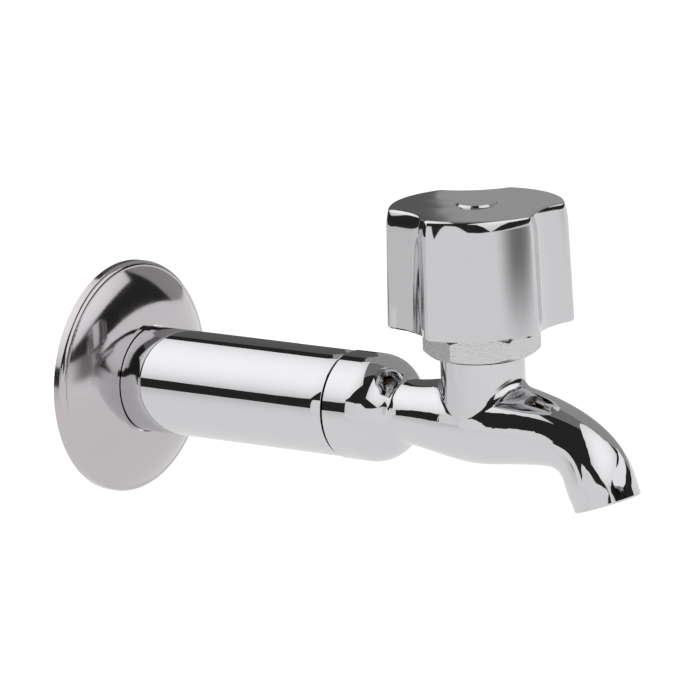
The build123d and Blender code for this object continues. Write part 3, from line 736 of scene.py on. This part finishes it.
def makeBonnet():
    b = bonnet
    angles = [2 * pi * k / b["steps"] + radians(b["turn"]) for k in range(b["steps"])]
    width = b["acrossFlats"] / 2 - b["faceRadius"]
    face = [b["faceRadius"] + width * k / b["faceSteps"] for k in range(b["faceSteps"])]
    height = b["hexTopZ"] - b["hexZ"]
    rings = [valveRing(z, r, angles) for z, r in (
        (b["threadZ"], b["threadBore"]), (b["threadZ"], b["threadRadius"]), (b["hexZ"], b["threadRadius"]))]
    rings += [valveRing(b["hexZ"], r, angles) for r in face]
    rings += [hexRing(b["hexZ"] + height * k / b["rows"]) for k in range(b["rows"] + 1)]
    rings += [valveRing(b["hexTopZ"], r, angles) for r in reversed(face)]
    rings += [valveRing(z, r, angles) for z, r in (
        (b["hexTopZ"], b["neckRadius"]), (b["topZ"], b["neckRadius"]), (b["topZ"], b["stuffingRadius"]),
        (b["stuffingZ"], b["stuffingRadius"]), (b["stuffingZ"], b["stemBore"]),
        (b["reliefTopZ"], b["stemBore"]), (b["reliefTopZ"], b["reliefRadius"]),
        (b["reliefZ"], b["reliefRadius"]), (b["reliefZ"], b["threadBore"]))]
    piece = ringPiece("blastedBonnet", rings, blasted, b["crease"])
    applyTree(piece, gritTree(), {
        "Grain": b["gritSize"] * mm, "Depth": b["gritDepth"] * mm,
        "Smooth radius": b["smoothRadius"] * mm, "Axis place": valveX * mm, "Finish": blasted})
    standFor(piece, "bonnet")
    print("bonnet made", len(piece.data.vertices))


makeBonnet()


# The camera's turn and rise in degrees and its distance in metres, and the pixel that its target falls on
shot = {
    "turn": 36.70, "rise": 13.30, "roll": -2.42, "distance": 1.7965, "lens": 355.14, "sensor": 36.0,
    "target": Vector((0.0842, 0, 0)), "targetPixel": (380.3, 407.0), "frameSize": 700, "clip": (0.05, 20),
}


def shotAxes():
    turn, rise = radians(shot["turn"]), radians(shot["rise"])
    right = Vector((cos(turn), sin(turn), 0))
    back = Vector((sin(turn) * cos(rise), -cos(turn) * cos(rise), sin(rise)))
    return right, back.cross(right), back


def makeCamera():
    right, up, back = shotAxes()
    roll = radians(shot["roll"])
    focal = shot["lens"] / shot["sensor"] * shot["frameSize"]
    middle = (shot["frameSize"] - 1) / 2
    dx, dy = middle - shot["targetPixel"][0], middle - shot["targetPixel"][1]
    u = dx * cos(roll) + dy * sin(roll)
    v = dy * cos(roll) - dx * sin(roll)
    forward = (right * u / focal - up * v / focal - back).normalized()
    level = up * cos(roll) - right * sin(roll)
    side = forward.cross(level).normalized()
    data = bpy.data.cameras.new("camera")
    data.lens = shot["lens"]
    data.sensor_width = shot["sensor"]
    data.clip_start, data.clip_end = shot["clip"]
    camera = bpy.data.objects.new("camera", data)
    scene.collection.objects.link(camera)
    basis = Matrix((side, side.cross(forward), -forward)).transposed().to_4x4()
    camera.matrix_world = Matrix.Translation(shot["target"] + back * shot["distance"]) @ basis
    scene.camera = camera
    print("camera made")


makeCamera()


def stageDirection(turn, rise):
    # from the tap's middle, turned from the camera to its right and raised, in degrees
    right, _, back = shotAxes()
    level = Vector((back.x, back.y, 0)).normalized()
    t, r = radians(turn), radians(rise)
    return (level * cos(t) + right * sin(t)) * cos(r) + Vector((0, 0, sin(r)))


def stageObject(name, points, faces, material):
    mesh = bpy.data.meshes.new(name)
    mesh.from_pydata(points, [], faces)
    mesh.materials.append(material)
    item = bpy.data.objects.new(name, mesh)
    scene.collection.objects.link(item)
    return item


# A grey floor that the camera sees as white and the chrome as pale, and that is clear from below
floor = {"drop": 0.25, "size": 3.2, "colour": "949494", "glow": 0.72}


def makeFloor():
    s = floor
    material, tree = newMaterial("paleFloor")
    path = addNode(tree, "ShaderNodeLightPath")
    mirrored = addNode(tree, "ShaderNodeMath", {
        0: path.outputs["Is Glossy Ray"], 1: s["glow"]}, operation="MULTIPLY")
    level = addNode(tree, "ShaderNodeMath", {
        0: path.outputs["Is Camera Ray"], 1: mirrored.outputs[0]}, operation="MAXIMUM")
    diffuse = addNode(tree, "ShaderNodeBsdfDiffuse", {"Color": linear(s["colour"])})
    glow = addNode(tree, "ShaderNodeEmission", {"Color": (1, 1, 1, 1), "Strength": level.outputs[0]})
    both = addNode(tree, "ShaderNodeAddShader", {0: diffuse.outputs[0], 1: glow.outputs[0]})
    below = addNode(tree, "ShaderNodeNewGeometry").outputs["Backfacing"]
    clear = addNode(tree, "ShaderNodeBsdfTransparent")
    sided = addNode(tree, "ShaderNodeMixShader", {0: below, 1: both.outputs[0], 2: clear.outputs[0]})
    addNode(tree, "ShaderNodeOutputMaterial", {"Surface": sided.outputs[0]})
    size, z = s["size"], -s["drop"]
    stageObject("floor", [(-size, -size, z), (size, -size, z), (size, size, z), (-size, size, z)],
                [(0, 1, 2, 3)], material)


def glowMaterial(name, strength, fade=0.0, half=None):
    # a plain glow, or one that fades from the middle of a card whose half width and height are given
    material, tree = newMaterial(name)
    level = strength
    if fade:
        place = addNode(tree, "ShaderNodeTexCoord").outputs["Object"]
        share = addNode(tree, "ShaderNodeVectorMath", {
            0: place, 1: (1 / half[0], 1 / half[1], 0)}, operation="MULTIPLY").outputs[0]
        squared = addNode(tree, "ShaderNodeVectorMath", {
            0: share, 1: share}, operation="DOT_PRODUCT").outputs["Value"]
        level = addNode(tree, "ShaderNodeMath", {
            0: squared, 1: -fade * strength, 2: strength}, operation="MULTIPLY_ADD").outputs[0]
    glow = addNode(tree, "ShaderNodeEmission", {"Color": (1, 1, 1, 1), "Strength": level})
    addNode(tree, "ShaderNodeOutputMaterial", {"Surface": glow.outputs["Emission"]})
    return material


# The pale sweep that rises from the floor's edge round the tap: the turn and rise of its upper edge
cove = {
    "distance": 1.45, "glow": 0.93,
    "top": [(-71.6, -5), (-71, 9), (-69, 12), (-61, 13), (-56, -3), (-48, 11), (-42, 18), (-28, 18), (-12, 9),
            (4, 8), (30, 9), (50, 10), (85, 9.5), (108, 7), (125, 5), (143, 2), (170, -1)],
}


def makeCove():
    points, faces = [], []
    for turn, rise in cove["top"]:
        foot = stageDirection(turn, 0) * cove["distance"] - Vector((0, 0, floor["drop"]))
        top = stageDirection(turn, rise) * cove["distance"] / cos(radians(rise))
        points += [shot["target"] + foot, shot["target"] + top]
    for k in range(0, len(points) - 2, 2):
        faces.append((k, k + 2, k + 3, k + 1))
    sweep = stageObject("sweep", points, faces, glowMaterial("sweepCloth", cove["glow"]))
    sweep.visible_camera = False
    sweep.visible_shadow = False


# The room is dim, and the camera alone sees it as white.
roomColour = "2C2C2C"


def makeWorld():
    world = bpy.data.worlds.new("studio")
    scene.world = world
    world.use_nodes = True
    tree = world.node_tree
    tree.nodes.clear()
    path = addNode(tree, "ShaderNodeLightPath")
    dark = addNode(tree, "ShaderNodeBackground", {"Color": linear(roomColour), "Strength": 1.0})
    white = addNode(tree, "ShaderNodeBackground", {"Color": (1, 1, 1, 1), "Strength": 1.0})
    mix = addNode(tree, "ShaderNodeMixShader", {
        0: path.outputs["Is Camera Ray"], 1: dark.outputs[0], 2: white.outputs[0]})
    addNode(tree, "ShaderNodeOutputWorld", {"Surface": mix.outputs[0]})


# Softboxes, dim walls and one small white card close by the chamber, in degrees and metres. The fade is
# the share of its glow that a card has lost at the middle of each edge, which doubles at a corner.
cards = {
    "leftSoftbox": {"turn": -105.2, "rise": 43.4, "distance": 0.857, "width": 1.192, "height": 1.03,
                    "glow": 1.36, "swing": -0.4, "lean": -1.1, "fade": 0.22},
    "rightSoftbox": {"turn": 47.7, "rise": 49.6, "distance": 1.565, "width": 3.319, "height": 1.481,
                     "glow": 1.30, "spin": 23, "swing": -1.0, "lean": -1.2, "fade": 0.20},
    "rearWall": {"turn": 152, "rise": 34, "distance": 1.7, "width": 1.9, "height": 2.2, "glow": 0.37},
    "leftRearWall": {"turn": -160, "rise": 14, "distance": 1.6, "width": 1.2, "height": 1.3, "glow": 0.12},
    "ceiling": {"turn": 180, "rise": 82, "distance": 1.9, "width": 2.6, "height": 1.2, "glow": 0.22},
    "chamberCard": {"turn": -52, "rise": 7, "distance": 0.0654, "width": 0.026, "height": 0.025,
                    "glow": 0.89},
}


def makeCard(name, turn, rise, distance, width, height, glow, spin=0, swing=0, lean=0, fade=0.0):
    w, h = width / 2, height / 2
    card = stageObject(name, [(-w, -h, 0), (w, -h, 0), (w, h, 0), (-w, h, 0)], [(0, 1, 2, 3)],
                       glowMaterial(name, glow, fade, (w, h)))
    place = stageDirection(turn, rise) * distance
    card.matrix_world = (Matrix.Translation(shot["target"] + place)
                         @ place.to_track_quat("Z", "Y").to_matrix().to_4x4()
                         @ Matrix.Rotation(radians(spin), 4, "Z")
                         @ Matrix.Rotation(radians(swing), 4, "Y")
                         @ Matrix.Rotation(radians(lean), 4, "X"))
    card.visible_camera = False
    card.visible_shadow = False


# A pale sheet beyond the spout, white on its underside alone, which opens like a fan from the spout's end,
# in degrees and metres
reflector = {
    "turns": (38, 126), "near": 0.045, "far": 1.2, "lift": 0.020, "slope": 14.5, "glow": 1.12, "steps": 11,
    "back": 0.008, "startZ": -0.015,
}


def makeReflector():
    s = reflector
    start, end = s["turns"]
    spoutEnd = Vector((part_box("tap_body")[1][0] - s["back"], 0, s["startZ"]))
    points, faces = [], []
    for k in range(s["steps"]):
        turn = start + (end - start) * k / (s["steps"] - 1)
        for reach in (s["near"], s["far"]):
            rise = s["lift"] + reach * tan(radians(s["slope"]))
            points.append(spoutEnd + stageDirection(turn, 0) * reach + Vector((0, 0, rise)))
    for k in range(0, len(points) - 2, 2):
        faces.append((k, k + 2, k + 3, k + 1))
    material, tree = newMaterial("whiteUnderside")
    glow = addNode(tree, "ShaderNodeEmission", {"Color": (1, 1, 1, 1), "Strength": s["glow"]})
    above = addNode(tree, "ShaderNodeNewGeometry").outputs["Backfacing"]
    clear = addNode(tree, "ShaderNodeBsdfTransparent")
    sided = addNode(tree, "ShaderNodeMixShader", {0: above, 1: glow.outputs[0], 2: clear.outputs[0]})
    addNode(tree, "ShaderNodeOutputMaterial", {"Surface": sided.outputs[0]})
    sheet = stageObject("spoutReflector", points, faces, material)
    sheet.visible_camera = False
    sheet.visible_shadow = False
    sheet.visible_diffuse = False


# A dim upright screen to the right, thin at its edges, darkens a soft band down the knob.
screen = {
    "turn": 50.0, "distance": 0.45, "width": 0.56, "bottom": -0.052, "fullFrom": -0.016, "top": 0.10,
    "darkness": 0.76,
}


def makeScreen():
    s = screen
    w = s["width"] / 2
    material, tree = newMaterial("dimScreen")
    own = addNode(tree, "ShaderNodeTexCoord").outputs["Object"]
    place = addNode(tree, "ShaderNodeSeparateXYZ", {0: own}).outputs
    sideways = addNode(tree, "ShaderNodeMath", {0: place["X"]}, operation="ABSOLUTE").outputs[0]
    across = addNode(tree, "ShaderNodeMapRange", {
        "Value": sideways, "From Min": 0.0, "From Max": w, "To Min": s["darkness"], "To Max": 0.0},
        interpolation_type="SMOOTHERSTEP").outputs[0]
    upwards = addNode(tree, "ShaderNodeMapRange", {
        "Value": place["Y"], "From Min": s["bottom"], "From Max": s["fullFrom"]},
        interpolation_type="SMOOTHSTEP").outputs[0]
    cover = addNode(tree, "ShaderNodeMath", {0: across, 1: upwards}, operation="MULTIPLY").outputs[0]
    clear = addNode(tree, "ShaderNodeBsdfTransparent")
    black = addNode(tree, "ShaderNodeEmission", {"Color": (0, 0, 0, 1), "Strength": 0.0})
    mix = addNode(tree, "ShaderNodeMixShader", {0: cover, 1: clear.outputs[0], 2: black.outputs[0]})
    addNode(tree, "ShaderNodeOutputMaterial", {"Surface": mix.outputs[0]})
    corners = [(-w, s["bottom"], 0), (w, s["bottom"], 0), (w, s["top"], 0), (-w, s["top"], 0)]
    card = stageObject("dimScreen", corners, [(0, 1, 2, 3)], material)
    level = stageDirection(s["turn"], 0)
    card.matrix_world = (Matrix.Translation(shot["target"] + level * s["distance"])
                         @ level.to_track_quat("Z", "Y").to_matrix().to_4x4())
    card.visible_camera = False
    card.visible_shadow = False
    card.visible_diffuse = False


makeFloor()
makeCove()
makeWorld()
for name, card in cards.items():
    makeCard(name, **card)
makeReflector()
makeScreen()
print("stage made")
